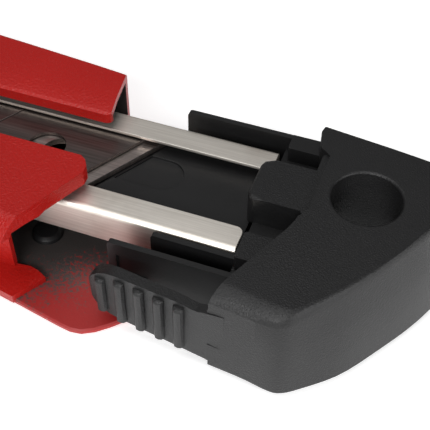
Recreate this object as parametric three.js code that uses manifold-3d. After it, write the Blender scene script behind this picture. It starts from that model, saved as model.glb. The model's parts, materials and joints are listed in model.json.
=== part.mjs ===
// Auto-load snap-off utility knife with its spare-blade magazine drawn out to the stop.
// Millimetres. +X points to the blade tip, +Y to the cutting edge, +Z to the thumb slider.
// While it is being built, Z = 0 is the top of the magazine channel's lips and Y = 0 its
// middle. The finished group is moved so that the origin is the bottom centre of its box.
import * as THREE from 'three';
import { mergeVertices } from 'three/addons/utils/BufferGeometryUtils.js';
import Module from 'manifold-3d';

const wasm = await Module();
wasm.setup();

// ---------------------------------------------------------------- driving dimensions
// Snap-off blade
const bladeWidth = 18;
const bladeLength = 100;
const bladeThickness = 0.5;
const bladeHole = 5.9;
const bladeHoleSetback = 9.5;       // from the middle of the rear edge to the hole
const bladeGrind = 3.2;             // width of the ground cutting edge
const bladeEdge = 0.08;             // what is left of the thickness at the edge
const segmentLength = 10;
const bladeSlant = Math.tan(Math.PI / 6);
const bladeOffsets = [0, 2.2, 2.0];    // how far each spare blade stands behind the top one
const segmentsUsed = 2;

// Magazine channel
const channelSheet = 0.5;
const channelHeight = 5.8;
const channelLip = 4.35;
const channelBend = 0.9;
const bladeSideClearance = 0.85;
const bladeTopClearance = 0.32;
const bladeLayerGap = 0.12;
const channelOverhang = 1.2;        // past the front of the spare blades
const bladeSetback = 18.84;         // channel's rear end to the top blade's farthest corner

// Body shell
const shellWall = 1.0;
const shellTop = 3.8;
const shellBottom = -12;
const slotFar = -5.6;
const slotNear = 3.8;
const lipBottom = 1.3;
const lipBottomFront = 2.2;
const lipThickness = 1.0;
const bandWidth = 3.4;              // sunk band beside each lip
const bandDrop = 0.5;
const jogAt = 53;                   // the lips are short ahead of this
const ledgeHeight = 1.0;
const shellFront = 166;

// Magazine travel and end cap
const travel = 29.1;
const closedGap = 0.6;              // between the cap's edge and the shell's rim when closed
const slideGap = 0.3;
const capTop = 3.8;
const capSeat = 0.25;                // between the cap and the shell's tail when closed
const capHole = 9.8;
const tongueTop = 3.3;

// Rails and release arm, all moulded with the cap
const railThickness = 0.85;
const railHeight = 9.5;
const farRailTop = 0.95;
const nearRailTop = 0.35;
const innerRailTop = -0.1;
const armThickness = 1.6;
const armTop = 0;
const armHeight = 9.2;
const armRootRise = 0.6;            // the arm is deeper at its root, above and below
const armLength = 18;
const armRibs = 5;
const armRibPitch = 2.95;
const armRibWidth = 1.6;
const armRibDepth = 0.75;

// Thumb slider
const sliderTravelOut = 44;
const padLength = 23;
const padHeight = 4.2;
const runClearance = 0.25;

// ---------------------------------------------------------------- derived places
const channelWidth = bladeWidth + 2 * (bladeSideClearance + channelSheet);
const channelHalf = channelWidth / 2;
const channelRear = 1.0;
const slantReach = bladeSlant * bladeWidth / 2;
const topBladeRear = channelRear + bladeSetback + slantReach;   // middle of the rear edge
const channelFront = topBladeRear + slantReach + bladeLength + channelOverhang;
const bladeTopZ = -channelSheet - bladeTopClearance;
const bladePitchZ = bladeThickness + bladeLayerGap;
const channelFloorZ = -channelHeight + channelSheet;
const loadX = topBladeRear + bladeHoleSetback + travel;         // slider over the next blade
const usedLength = bladeLength - segmentsUsed * segmentLength;
const noseReach = 6.6;
const noseFront = shellFront + noseReach;                       // in the middle, Y = 0
const tipSetback = 1.6;
const activeRear = noseFront - tipSetback - usedLength;
const sliderX = activeRear + bladeHoleSetback;
const activeBottom = 0.15;
const activeTop = activeBottom + bladeThickness;
const rimBase = travel + closedGap;
const nearRailOuter = channelHalf + 4.85;
const farRailOuter = -(channelHalf + 3.15);
const boxWallInner = nearRailOuter + slideGap;
const boxWallOuter = boxWallInner + 0.8;
const floorTop = shellBottom + shellWall;
const ledgeTop = floorTop + ledgeHeight;
const armRoot = 0.9;
const armFront = armRoot + armLength;
const recessFront = armFront + travel + 0.8;
const recessTop = armTop + armRootRise + 0.4;

// ---------------------------------------------------------------- materials
const red = new THREE.MeshStandardMaterial({ color: 0xa32620, roughness: 0.35, metalness: 0.1 });
const black = new THREE.MeshStandardMaterial({ color: 0x2b2b2b, roughness: 0.6, metalness: 0 });
const liner = new THREE.MeshStandardMaterial({ color: 0x1f1f20, roughness: 0.7, metalness: 0 });
const steel = new THREE.MeshStandardMaterial({ color: 0xb9b4aa, roughness: 0.3, metalness: 1 });
const bladeSteel = new THREE.MeshStandardMaterial({ color: 0x6b655f, roughness: 0.25, metalness: 1 });
const springSteel = new THREE.MeshStandardMaterial({ color: 0x8f8b84, roughness: 0.3, metalness: 1 });
const rivetSteel = new THREE.MeshStandardMaterial({ color: 0xa8a49c, roughness: 0.4, metalness: 1 });

// ---------------------------------------------------------------- solid helpers
// A closed three.js geometry as a solid that can be joined and cut.
function solid(geometry) {
  const bare = geometry.clone();
  bare.deleteAttribute('normal');
  bare.deleteAttribute('uv');
  const merged = mergeVertices(bare, 1e-4);
  const vertProperties = new Float32Array(merged.attributes.position.array);
  const triVerts = new Uint32Array(merged.index.array);
  return new wasm.Manifold(new wasm.Mesh({ numProp: 3, vertProperties, triVerts }));
}

// A solid back as a geometry for a mesh.
function geometryOf(body) {
  const data = body.getMesh();
  const geometry = new THREE.BufferGeometry();
  geometry.setAttribute('position', new THREE.BufferAttribute(data.vertProperties, 3));
  geometry.setIndex(new THREE.BufferAttribute(data.triVerts, 1));
  geometry.computeVertexNormals();
  return geometry;
}

function block(x0, x1, y0, y1, z0, z1) {
  const geometry = new THREE.BoxGeometry(x1 - x0, y1 - y0, z1 - z0);
  geometry.translate((x0 + x1) / 2, (y0 + y1) / 2, (z0 + z1) / 2);
  return solid(geometry);
}

function shapeOf(points) {
  return new THREE.Shape(points.map(([a, b]) => new THREE.Vector2(a, b)));
}

// An outline in X and Y, raised from z0 to z1, with rounded or chamfered rims if asked.
function raised(outline, z0, z1, rim = 0, rimSteps = 1) {
  const shape = Array.isArray(outline) ? shapeOf(outline) : outline;
  const geometry = new THREE.ExtrudeGeometry(shape, {
    depth: z1 - z0 - 2 * rim,
    bevelEnabled: rim > 0,
    bevelThickness: rim,
    bevelSize: rim,
    bevelOffset: -rim,
    bevelSegments: rimSteps,
    curveSegments: 6,
  });
  geometry.translate(0, 0, z0 + rim);
  return solid(geometry);
}

// A section in Y and Z, run along X from x0 to x1.
function alongX(section, x0, x1) {
  const geometry = new THREE.ExtrudeGeometry(shapeOf(section), { depth: x1 - x0, bevelEnabled: false });
  geometry.applyMatrix4(new THREE.Matrix4().set(0, 0, 1, x0, 1, 0, 0, 0, 0, 1, 0, 0, 0, 0, 0, 1));
  return solid(geometry);
}

// A side view in X and Z, run along Y from y0 to y1.
function alongY(view, y0, y1) {
  const flipped = view.map(([x, z]) => [z, x]);
  const geometry = new THREE.ExtrudeGeometry(shapeOf(flipped), { depth: y1 - y0, bevelEnabled: false });
  geometry.applyMatrix4(new THREE.Matrix4().set(0, 1, 0, 0, 0, 0, 1, y0, 1, 0, 0, 0, 0, 0, 0, 1));
  return solid(geometry);
}

// A closed skin through level outlines [z, points], all with the same number of points.
function lofted(levels) {
  const count = levels[0][1].length;
  const positions = levels.flatMap(([z, points]) => points.flatMap(([x, y]) => [x, y, z]));
  const index = [];
  for (let row = 0; row < levels.length - 1; row += 1) {
    for (let i = 0; i < count; i += 1) {
      const a = row * count + i;
      const b = row * count + (i + 1) % count;
      index.push(a, b, b + count, a, b + count, a + count);
    }
  }
  const capOf = (row, flip) => {
    const ring = levels[row][1].map(([x, y]) => new THREE.Vector2(x, y));
    THREE.ShapeUtils.triangulateShape(ring, []).forEach(([a, b, c]) => {
      const face = flip ? [a, c, b] : [a, b, c];
      index.push(...face.map((i) => i + row * count));
    });
  };
  capOf(0, true);
  capOf(levels.length - 1, false);
  const geometry = new THREE.BufferGeometry();
  geometry.setAttribute('position', new THREE.Float32BufferAttribute(positions, 3));
  geometry.setIndex(index);
  return solid(geometry);
}

// An upright round bar.
function post(x, y, radius, z0, z1, sides = 24) {
  const geometry = new THREE.CylinderGeometry(radius, radius, z1 - z0, sides);
  geometry.rotateX(Math.PI / 2);
  geometry.translate(x, y, (z0 + z1) / 2);
  return solid(geometry);
}

// A domed rivet head on a shank, standing on z = seat and hanging down by the shank's length.
function rivet(x, y, headRadius, headHeight, seat, shankRadius, shankLength) {
  const profile = [
    new THREE.Vector2(0, -shankLength),
    new THREE.Vector2(shankRadius, -shankLength),
    new THREE.Vector2(shankRadius, 0),
    new THREE.Vector2(headRadius, 0),
    new THREE.Vector2(headRadius * 0.94, headHeight * 0.45),
    new THREE.Vector2(headRadius * 0.7, headHeight * 0.85),
    new THREE.Vector2(0, headHeight),
  ];
  const geometry = new THREE.LatheGeometry(profile, 20);
  geometry.rotateX(Math.PI / 2);
  geometry.translate(x, y, seat);
  return solid(geometry);
}

function joined(...bodies) {
  return bodies.reduce((all, body) => all.add(body));
}

function cut(body, ...tools) {
  return tools.reduce((rest, tool) => rest.subtract(tool), body);
}

// A round corner of an outline: points on a quarter-like arc between two angles in degrees.
function arc(cx, cy, radius, from, to, steps) {
  const points = [];
  for (let i = 0; i <= steps; i += 1) {
    const angle = THREE.MathUtils.degToRad(from + (to - from) * i / steps);
    points.push([cx + radius * Math.cos(angle), cy + radius * Math.sin(angle)]);
  }
  return points;
}

const assembly = new THREE.Group();

function addMesh(name, body, material) {
  const mesh = new THREE.Mesh(geometryOf(body), material);
  mesh.name = name;
  assembly.add(mesh);
  return mesh;
}

// ---------------------------------------------------------------- snap-off blades
// A blade whose rear edge crosses Y = 0 at rearX; its top face is at topZ.
function snapBlade(rearX, length, topZ) {
  const half = bladeWidth / 2;
  const bottomZ = topZ - bladeThickness;
  const middleZ = (topZ + bottomZ) / 2;
  const section = [
    [-half, bottomZ],
    [half - bladeGrind, bottomZ],
    [half, middleZ - bladeEdge / 2],
    [half, middleZ + bladeEdge / 2],
    [half - bladeGrind, topZ],
    [-half, topZ],
  ];
  const bar = alongX(section, rearX - slantReach - 1, rearX + slantReach + length + 1);
  const side = half + 1;
  const lean = bladeSlant * side;
  const outline = [
    [rearX - lean, -side],
    [rearX + length - lean, -side],
    [rearX + length + lean, side],
    [rearX + lean, side],
  ];
  const trimmed = bar.intersect(raised(outline, bottomZ - 1, topZ + 1));
  const hole = post(rearX + bladeHoleSetback, 0, bladeHole / 2, bottomZ - 1, topZ + 1, 32);
  return cut(trimmed, hole);
}

const spareNames = ['spare_blade_top', 'spare_blade_middle', 'spare_blade_bottom'];
const bladesSpare = spareNames.length;
for (let i = 0; i < bladesSpare; i += 1) {
  const topZ = bladeTopZ - i * bladePitchZ;
  addMesh(spareNames[i], snapBlade(topBladeRear - bladeOffsets[i], bladeLength, topZ), bladeSteel);
}
addMesh('active_blade', snapBlade(activeRear, usedLength, activeTop), bladeSteel);

// ---------------------------------------------------------------- magazine channel
const bedRivetX = channelRear + 5.5;
const springRivetX = channelFront - 9;
const springRivetRadius = 1.4;
const bedRivetRadius = 1.4;
const rivetHoleClearance = 0.3;

function channelSection() {
  const inner = channelHalf - channelLip;
  const outerArc = arc(channelHalf - channelBend, -channelBend, channelBend, 0, 90, 3);
  const innerBend = channelBend - channelSheet;
  const innerArc = arc(channelHalf - channelBend, -channelBend, innerBend, 90, 0, 3);
  const right = [
    [channelHalf, -channelHeight],
    ...outerArc,
    [inner, 0],
    [inner, -channelSheet],
    ...innerArc,
    [channelHalf - channelSheet, channelFloorZ],
  ];
  const left = right.map(([y, z]) => [-y, z]).reverse();
  return [...right, ...left];
}

const lipCornerRound = 1.1;
// The waste outside a rounded lip corner at the channel's rear end.
function lipCornerWaste(side) {
  const edge = side * (channelHalf - channelLip);
  const x1 = channelRear + lipCornerRound;
  const y1 = edge + side * lipCornerRound;
  const lowY = Math.min(edge - side * 1, y1);
  const highY = Math.max(edge - side * 1, y1);
  const corner = block(channelRear - 1, x1, lowY, highY, -channelSheet - 0.2, 1);
  return cut(corner, post(x1, y1, lipCornerRound, -3, 3, 24));
}

const channel = cut(
  alongX(channelSection(), channelRear, channelFront),
  lipCornerWaste(1),
  lipCornerWaste(-1),
  post(bedRivetX, 0, bedRivetRadius + rivetHoleClearance, -channelHeight - 1, channelFloorZ + 1, 16),
  post(springRivetX, 0, springRivetRadius + rivetHoleClearance, -channelHeight - 1, channelFloorZ + 1, 16),
);
addMesh('magazine_channel', channel, steel);

// ---------------------------------------------------------------- plastic bed behind the blades
const bedHalf = channelHalf - channelSheet - 0.3;
const bedFloor = channelFloorZ + 0.05;
const bladesBottomZ = bladeTopZ - (bladesSpare - 1) * bladePitchZ - bladeThickness;
const bedShelfTop = bladesBottomZ - 0.15;
const bedTop = bladesBottomZ + 0.45;
const bedFront = topBladeRear + 7;
const bedStep = topBladeRear - Math.max(...bladeOffsets) - 0.6;  // raised part ends here
const bedGrooveDepth = 0.45;
const bedGrooveHalf = 3.1;
const bedGrooveMiddle = -1.65;
const bedGrooveRear = 13.2;

const bedRaised = raised([
  [channelRear + 0.3, -bedHalf],
  [bedStep - bladeSlant * bedHalf, -bedHalf],
  [bedStep + bladeSlant * bedHalf, bedHalf],
  [channelRear + 0.3, bedHalf],
], bedShelfTop - 0.5, bedTop);
const bedGroove = raised([
  ...arc(bedGrooveRear + bedGrooveHalf, bedGrooveMiddle, bedGrooveHalf, 90, 270, 10),
  [bedFront + 4, bedGrooveMiddle - bedGrooveHalf],
  [bedFront + 4, bedGrooveMiddle + bedGrooveHalf],
], bedTop - bedGrooveDepth, bedTop + 1);
const bed = cut(
  joined(block(channelRear + 0.3, bedFront, -bedHalf, bedHalf, bedFloor, bedShelfTop), bedRaised),
  bedGroove,
  post(bedRivetX, 0, bedRivetRadius + rivetHoleClearance, bedFloor - 1, bedFloor + 1.6, 16),
);
addMesh('blade_bed', bed, liner);
const bedRivet = rivet(bedRivetX, 0, 2.4, 0.7, 0, bedRivetRadius, 1.9).rotate([180, 0, 0]);
addMesh('bed_rivet', bedRivet.translate([0, 0, -channelHeight - 0.05]), rivetSteel);

// ---------------------------------------------------------------- leaf spring under the blades
const springSheet = 0.4;
const springHalf = 4.5;
const springRear = bedFront + 2;
const springFront = springRivetX + 4;
const springSteps = 14;

function leafSpring() {
  const low = channelFloorZ + 0.08;
  const rise = bladesBottomZ - 0.12 - springSheet - low;
  const flat = 8;
  const bow = (x) => {
    const share = THREE.MathUtils.clamp((x - springRear) / (springFront - flat - springRear), 0, 1);
    return low + rise * Math.sin(Math.PI * share) ** 2;
  };
  const under = [];
  const over = [];
  for (let i = 0; i <= springSteps; i += 1) {
    const x = springRear + (springFront - flat - springRear) * i / springSteps;
    under.push([x, bow(x)]);
    over.unshift([x, bow(x) + springSheet]);
  }
  const view = [...under, [springFront, low], [springFront, low + springSheet], ...over];
  return alongY(view, -springHalf, springHalf);
}

const springHole = post(springRivetX, 0, springRivetRadius + rivetHoleClearance, -9, 0, 16);
addMesh('leaf_spring', cut(leafSpring(), springHole), springSteel);
const springRivetSeat = channelFloorZ + 0.08 + springSheet + 0.05;
addMesh('spring_rivet', rivet(springRivetX, 0, 2.4, 0.6, springRivetSeat, springRivetRadius, 1.1), rivetSteel);

// ---------------------------------------------------------------- body shell
// Rear rim of the top flanges, from the far side to the near side.
const atRear = ([x, y]) => [x + rimBase, y];
const rimFar = atRear([-2.1, -14.8]);
const rimFarLip = atRear([-3.5, slotFar]);
const rimNearLip = atRear([-2.7, slotNear]);
const rimNearRound = [[-4.4, 4.9], [-5.1, 6.0], [-5.2, 7.3]].map(atRear);
const rimNearBend = atRear([-0.9, 17.2]);
const rimNear = atRear([0.7, 21.4]);

const farLine = [
  atRear([-9.7, -13.7]), atRear([-2.3, -14.75]), [40, -16.0], [60, -17.5], [88, -18.0], [118, -17.0], [148, -14.2],
  [shellFront, -12.2],
];
const nearLine = [
  atRear([-9.7, 23.4]), atRear([0.9, 21.3]), [40, 19.9], [50, 18.8], [70, 18.0], [92, 18.6], [114, 18.4], [140, 15.8],
  [shellFront, 12.2],
];

// Points along a smooth line through the given ones, moved inwards by inset.
function smoothLine(points, inset, steps) {
  const curve = new THREE.SplineCurve(points.map(([x, y]) => new THREE.Vector2(x, y)));
  const result = [];
  for (let i = 0; i <= steps; i += 1) {
    const at = curve.getPoint(i / steps);
    const along = curve.getTangent(i / steps);
    const side = at.y > 0 ? -1 : 1;
    result.push([at.x - side * along.y * inset, at.y + side * along.x * inset]);
  }
  return result;
}

// The body's plan outline, shrunk by its own inset on each side, with a flat front.
function bodyOutline(farInset, nearInset = farInset, steps = 18) {
  const far = smoothLine(farLine, farInset, steps);
  const near = smoothLine(nearLine, nearInset, steps).reverse();
  const frontX = shellFront - farInset;
  const clampX = ([x, y]) => [Math.min(x, frontX), y];
  const corner = 3;
  const farFront = clampX(far.pop());
  const nearFront = clampX(near.shift());
  return [
    ...far.map(clampX),
    [farFront[0] - corner, farFront[1] - 0.4],
    [farFront[0], farFront[1] + corner],
    [nearFront[0], nearFront[1] - corner],
    [nearFront[0] - corner, nearFront[1] + 0.4],
    ...near.map(clampX),
  ];
}

const rearBeyond = 5;
// Everything behind the slanted rear rim.
const behindRim = raised([
  [rearBeyond, -30],
  [rimFar[0], -30],
  rimFar,
  rimFarLip,
  [rimFarLip[0], slotNear],
  rimNearLip,
  ...rimNearRound,
  rimNearBend,
  rimNear,
  [rimNear[0] + 2, 30],
  [rearBeyond, 30],
], ledgeTop, 10);
// Behind the ledge, where only the floor plate runs on.
const ledgeRear = [[3.6, 15.8], [0.8, 15.5], [-0.6, 15.8], [-2.2, 16.6], [0.6, 21.4]].map(atRear);
const behindLedge = raised([
  [rearBeyond, -30],
  [rimFar[0], -30],
  [rimFar[0], 10],
  ...ledgeRear.slice(3),
  [rimNear[0] + 1, 30],
  [rearBeyond, 30],
], shellBottom - 1, ledgeTop + 0.5);

const slotFront = sliderX + sliderTravelOut + padLength / 2 - 2;
const outsideLevels = [
  [shellBottom, 0.6, 0.6], [shellBottom + 0.6, 0, 0], [-1.2, 0, 0], [0.9, 0, 0.25], [2.3, 0, 1.25],
  [shellTop - 0.5, 0, 2.5], [shellTop - 0.15, 0.15, 3.1], [shellTop, 0.5, 3.7],
];
const insideLevels = [
  [floorTop, shellWall, shellWall], [0.2, shellWall, shellWall + 0.2], [2.0, shellWall, shellWall + 1.6],
  [shellTop - shellWall, shellWall, shellWall + 2.9],
];
const skin = (levels) => lofted(levels.map(([z, far, near]) => [z, bodyOutline(far, near)]));
const cavity = skin(insideLevels);
const wallsAll = cut(skin(outsideLevels), cavity);
const slotCut = block(rearBeyond, slotFront, slotFar - bandWidth - 0.6, slotNear + lipThickness, shellTop - 2.2, shellTop + 1);
const walls = cut(wallsAll, slotCut, behindRim, behindLedge);

// Flange edges beside the slot: a sunk band and a lip turned down.
function farEdge(bottom) {
  const under = shellTop - shellWall;
  return [
    [slotFar - bandWidth - 1, shellTop],
    [slotFar - bandWidth - 1, under],
    [slotFar - bandWidth, under],
    [slotFar - lipThickness, under - bandDrop],
    [slotFar - lipThickness, bottom],
    [slotFar, bottom],
    [slotFar, shellTop - bandDrop - 0.35],
    [slotFar - 0.4, shellTop - bandDrop],
    [slotFar - bandWidth, shellTop],
  ];
}
function nearEdge(bottom) {
  const under = shellTop - shellWall;
  return [
    [slotNear, bottom],
    [slotNear + lipThickness, bottom],
    [slotNear + lipThickness, under],
    [slotNear + lipThickness + 1, under],
    [slotNear + lipThickness + 1, shellTop],
    [slotNear + 0.5, shellTop],
    [slotNear, shellTop - 0.5],
  ];
}
const edges = joined(
  alongX(farEdge(lipBottom), rimBase - 5, jogAt),
  alongX(farEdge(lipBottomFront), jogAt, slotFront),
  alongX(nearEdge(lipBottom), rimBase - 5, jogAt),
  alongX(nearEdge(lipBottomFront), jogAt, slotFront),
);

// The near flange's rear rim is turned down too.
const rimLipBottom = 1.4;
const rimLipSheet = 1.1;
const rimLip = raised([
  [rimNearLip[0], slotNear + 0.3],
  ...rimNearRound,
  atRear([-2.3, 13.9]),
  atRear([-2.1, 15.1]),
  atRear([-1.35, 16.3]),
  rimNearBend,
  atRear([-0.1, 19.0]),
  atRear([-0.1 + rimLipSheet, 18.4]),
  [rimNearBend[0] + rimLipSheet + 0.3, rimNearBend[1] - 0.4],
  [rimNearRound[2][0] + rimLipSheet, rimNearRound[2][1] + 0.2],
  [rimNearRound[0][0] + rimLipSheet, rimNearRound[0][1] + 0.7],
  [rimNearLip[0] + 0.6, slotNear + lipThickness],
].reverse(), rimLipBottom, shellTop - 0.5);

// Recess on the near side for the release arm: floor ledge, inner wall and round front end.
const recessMiddleZ = (recessTop + ledgeTop) / 2;
const recessRadius = (recessTop - ledgeTop) / 2;
const recessView = [
  [rearBeyond, ledgeTop],
  ...arc(recessFront - recessRadius, recessMiddleZ, recessRadius, -90, 90, 8),
  [rearBeyond, recessTop],
];
const recess = alongY(recessView, boxWallOuter, 40);
const recessBacking = raised(bodyOutline(0.3), floorTop - 0.5, shellTop - 0.5)
  .intersect(block(rimNear[0] + 2.2, recessFront + 1, boxWallInner, 40, floorTop - 0.5, shellTop - 0.5));

// Ledge and tail: the floor runs on behind the rim, under the cap.
const ledgeFront = rimBase + 6.3;
const ledge = raised([...ledgeRear, [ledgeFront, 20.3], [ledgeFront, boxWallInner]].reverse(), floorTop - 0.5, ledgeTop);
const tail = raised([
  [11, -15.0],
  [-2.1, -14.6],
  [-10.2, -13.4],
  [-16.7, -10.6],
  [-20.2, -5.5],
  [-20.2, 6],
  [-18.5, 14.2],
  [-15.7, 18.6],
  [-14.1, 20.3],
  [-12.4, 21.8],
  [-10.7, 22.75],
  [-9.1, 22.95],
  [-7.3, 22.7],
  [1.3, 21.0],
  [11, 19.3],
].map(atRear), shellBottom, floorTop, 0.25, 1);

// Front: an opening for the blade and holes for the rivets.
const noseSheet = 0.6;
const noseRivetX = shellFront - 4.4;
const noseRivetY = 7;
const noseInnerTop = activeTop + 0.2;
const noseInnerBottom = activeBottom - 0.15;
const noseHalf = bladeWidth / 2 + 0.35;
const noseOpening = block(
  shellFront - 6, shellFront + 2,
  -noseHalf - noseSheet - 0.3, noseHalf + noseSheet + 0.3,
  noseInnerBottom - noseSheet - 0.3, noseInnerTop + noseSheet + 0.3,
);
const rivetShank = 1.1;
const rivetHole = rivetShank + 0.3;
const stripNear = slotNear + 4.2;
const stripWidth = 1.8;
const stripRear = jogAt + 3;
const stripFront = shellFront - 18;
const stripRivetInset = 3;
const flangeHole = (x, y) => post(x, y, rivetHole, 0, shellTop + 1, 16);
const shell = cut(
  joined(walls, cut(edges, behindRim), rimLip, recessBacking, tail, ledge),
  recess,
  noseOpening,
  flangeHole(noseRivetX, noseRivetY),
  flangeHole(noseRivetX, -noseRivetY),
  flangeHole(stripRear + stripRivetInset, stripNear + stripWidth / 2),
  flangeHole(stripFront - stripRivetInset, stripNear + stripWidth / 2),
);
addMesh('body_shell', shell, red);

// Studs on the shell's floor.
const studRadius = 2.45;
const studRear = [rimNearBend[0] + 2.8, 8.1];
const studFront = [jogAt - 4, 0];
addMesh('floor_stud_rear', rivet(...studRear, studRadius, 1.0, floorTop + 0.05, 0.01, 0.02), black);
addMesh('floor_stud_front', rivet(...studFront, studRadius, 1.0, floorTop + 0.05, 0.01, 0.02), black);

// ---------------------------------------------------------------- liner that guides the magazine
const linerRear = recessFront + 3;
const linerFront = shellFront - 15;
const linerInner = channelHalf + 0.3;
const linerOuter = linerInner + 1.0;
const linerFoot = floorTop + 0.05;
const linerWebTop = -channelHeight - 0.3;
const linerWeb = 1.2;
addMesh('magazine_guide', alongX([
  [-linerOuter, linerFoot], [-linerInner, linerFoot],
  [-linerInner, linerWebTop - linerWeb], [linerInner, linerWebTop - linerWeb],
  [linerInner, linerFoot], [linerOuter, linerFoot],
  [linerOuter, -0.3], [linerInner, -0.3],
  [linerInner, linerWebTop], [-linerInner, linerWebTop],
  [-linerInner, -0.3], [-linerOuter, -0.3],
], linerRear, linerFront), liner);

// ---------------------------------------------------------------- nose guide and rivets
const noseTopRear = shellFront - 8;
const noseBody = joined(
  block(noseTopRear, noseFront + 8, -noseHalf - noseSheet, noseHalf + noseSheet, noseInnerTop, noseInnerTop + noseSheet),
  block(shellFront - 1.5, noseFront + 8, -noseHalf - noseSheet, noseHalf + noseSheet, noseInnerBottom - noseSheet, noseInnerBottom),
  block(shellFront - 1.5, noseFront + 8, -noseHalf - noseSheet, -noseHalf, noseInnerBottom - 0.1, noseInnerTop + 0.1),
  block(shellFront - 1.5, noseFront + 8, noseHalf, noseHalf + noseSheet, noseInnerBottom - 0.1, noseInnerTop + 0.1),
);
const noseSide = noseHalf + 3;
const noseTrim = raised([
  [noseTopRear - 1, -noseSide],
  [noseFront - bladeSlant * noseSide, -noseSide],
  [noseFront + bladeSlant * noseSide, noseSide],
  [noseTopRear - 1, noseSide],
], -5, 5);
const noseHoles = joined(post(noseRivetX, noseRivetY, rivetHole, 0, 5, 16), post(noseRivetX, -noseRivetY, rivetHole, 0, 5, 16));
addMesh('nose_guide', cut(noseBody.intersect(noseTrim), noseHoles), steel);
const noseShank = shellTop - noseInnerTop - 0.1;
addMesh('nose_rivet_near', rivet(noseRivetX, noseRivetY, 2.0, 0.8, shellTop + 0.05, rivetShank, noseShank), rivetSteel);
addMesh('nose_rivet_far', rivet(noseRivetX, -noseRivetY, 2.0, 0.8, shellTop + 0.05, rivetShank, noseShank), rivetSteel);

// ---------------------------------------------------------------- detent strip and its rivets
const stripTop = shellTop - shellWall - 0.1;
const stripHeight = 1.4;
const toothPitch = 5;
const toothDepth = 0.7;
function detentStrip() {
  const outline = [[stripFront, stripNear + stripWidth], [stripRear, stripNear + stripWidth]];
  outline.push([stripRear, stripNear]);
  for (let x = stripRear + 8; x < stripFront - 8; x += toothPitch) {
    outline.push([x, stripNear], [x + 1.6, stripNear + toothDepth], [x + 2.2, stripNear]);
  }
  outline.push([stripFront, stripNear]);
  const hole = (x) => post(x, stripNear + stripWidth / 2, rivetShank * 0.6 + 0.1, 0, 5, 16);
  return cut(
    raised(outline.reverse(), stripTop - stripHeight, stripTop),
    hole(stripRear + stripRivetInset),
    hole(stripFront - stripRivetInset),
  );
}
addMesh('detent_strip', detentStrip(), springSteel);
const stripRivet = (x) => rivet(x, stripNear + stripWidth / 2, 1.7, 0.6, shellTop + 0.05, rivetShank * 0.6, shellTop - stripTop + 1.0);
addMesh('detent_rivet_rear', stripRivet(stripRear + stripRivetInset), rivetSteel);
addMesh('detent_rivet_front', stripRivet(stripFront - stripRivetInset), rivetSteel);

// ---------------------------------------------------------------- end cap
// Front edge of the cap's top face: it follows the shell's rim, one travel further back.
const follow = ([x, y]) => [x - rimBase, y];
const capNotch = -6.9;
const tongueNear = 3.25;            // the tongue's long sides
const tongueFar = -5.0;
const capFarFront = [-4.6, -14.4];
const capFarNotch = [capNotch, -8.1];
const capNearJog = [-5.8, 5.4];
const capNearRound = follow(rimNearRound[2]);
const capNearFront = follow(rimNearBend);
const capNearEdge = follow(rimNear);

const capBottom = floorTop + capSeat;
// Outlines of the cap from its near side round the butt: at its foot, under its rounded rim and on top.
const capFoot = [
  [2, 21.8], [-4.3, 22.4], [-8.0, 23.05], [-9.9, 22.95], [-12.3, 21.4], [-16.7, 17.4], [-20.8, 11.5],
  [-24.0, 6.3], [-26.4, 1.3], [-28.4, -4.0], [-29.4, -8.6], [-28.6, -11.6], [-25.8, -13.1], [-18, -14.0],
  [-8, -15.0], [2, -16.0],
];
const capBelowRim = [
  [2, 21.2], [-4.0, 21.8], [-7.3, 22.1], [-9.4, 21.7], [-11.2, 20.0], [-14.9, 15.5], [-18.3, 10.6],
  [-21.3, 5.4], [-23.4, 1.3], [-25.3, -3.8], [-26.4, -8.2], [-25.9, -10.6], [-24.0, -12.1], [-17.2, -13.2],
  [-8, -14.3], [2, -15.4],
];
const capRim = [
  [2, 18.0], [-3.4, 18.75], [-6.8, 19.3], [-9.1, 19.65], [-10.6, 18.8], [-14.3, 14.6], [-17.6, 10.0],
  [-20.3, 5.5], [-22.6, 0.6], [-24.3, -3.8], [-25.3, -8.0], [-25.0, -9.9], [-23.4, -11.1], [-17, -12.2],
  [-8, -13.3], [2, -14.4],
];
const capShare = (from, to, share) => {
  const points = from.map(([x, y], i) => new THREE.Vector2(x, y).lerp(new THREE.Vector2(...to[i]), share));
  return new THREE.SplineCurve(points).getPoints(52).map((point) => [point.x, point.y]);
};
const capBelowZ = capTop - 1.7;
const capBlank = lofted([
  [capBottom, capShare(capFoot, capBelowRim, 0.12)],
  [capBottom + 0.4, capShare(capFoot, capBelowRim, 0)],
  [capBottom + 4.5, capShare(capFoot, capBelowRim, 0.22)],
  [capBottom + 9, capShare(capFoot, capBelowRim, 0.55)],
  [capBelowZ, capShare(capFoot, capBelowRim, 1)],
  [capTop - 0.85, capShare(capBelowRim, capRim, 0.2)],
  [capTop - 0.3, capShare(capBelowRim, capRim, 0.5)],
  [capTop - 0.05, capShare(capBelowRim, capRim, 0.78)],
  [capTop, capShare(capBelowRim, capRim, 1)],
]);
// In front of the cap's slanted front edge.
const capAhead = raised([
  [20, -30],
  [capFarFront[0] - 0.4, -30],
  [capFarFront[0] - 0.4, capFarFront[1] - 0.2],
  [capFarFront[0], capFarFront[1] + 0.8],
  [capFarFront[0] + 0.18, capFarFront[1] + 1.8],
  [capFarFront[0] - 0.6, capFarNotch[1] - 1.2],
  [capNotch + 0.9, capFarNotch[1] - 0.7],
  capFarNotch,
  [capNotch, tongueNear - 0.3],
  [capNotch + 0.45, tongueNear + 0.05],
  [capNotch + 0.6, tongueNear + 0.9],
  [capNearJog[0] - 0.1, tongueNear + 1.4],
  capNearJog,
  capNearRound,
  capNearFront,
  capNearEdge,
  [capNearEdge[0] + 2, 30],
  [20, 30],
], capBottom - 1, capTop + 1);

// Lanyard hole.
const holeX = -13.8;
const holeY = -1.8;
const lanyard = post(holeX, holeY, capHole / 2, capBottom - 1, capTop + 1, 40);
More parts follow.
